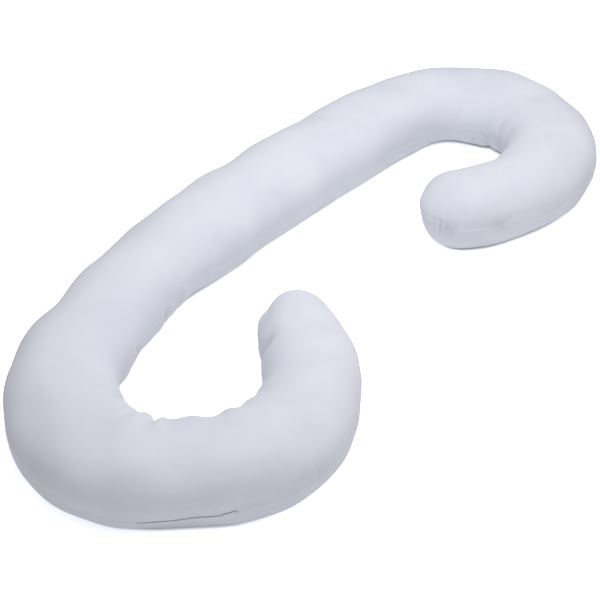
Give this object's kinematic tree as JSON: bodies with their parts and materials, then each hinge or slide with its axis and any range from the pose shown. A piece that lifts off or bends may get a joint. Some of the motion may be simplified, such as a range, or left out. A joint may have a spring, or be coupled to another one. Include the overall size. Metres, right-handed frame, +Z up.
{
  "type": "c-shaped body pillow",
  "caption": "Long stuffed body pillow in a C shape, its two ends curled back into hooks, with a seam all round at mid height and a flap over the closure.",
  "frame": {"origin": "bottom centre of the pillow's box, on the surface that it lies on", "axes": "+Z up, +Y along the back of the C from the wide hook to the tight hook, both hooks open towards +X"},
  "size_m": [0.6712, 1.5274, 0.1606],
  "materials": {
    "cover_cloth": "plain-woven white polycotton, smooth and matte",
    "flap_cloth": "the same white polycotton, folded double and topstitched"
  },
  "bodies": {
    "root": {"pillow_body": "cover_cloth", "closure_flap": "flap_cloth"}
  },
  "joints": []
}
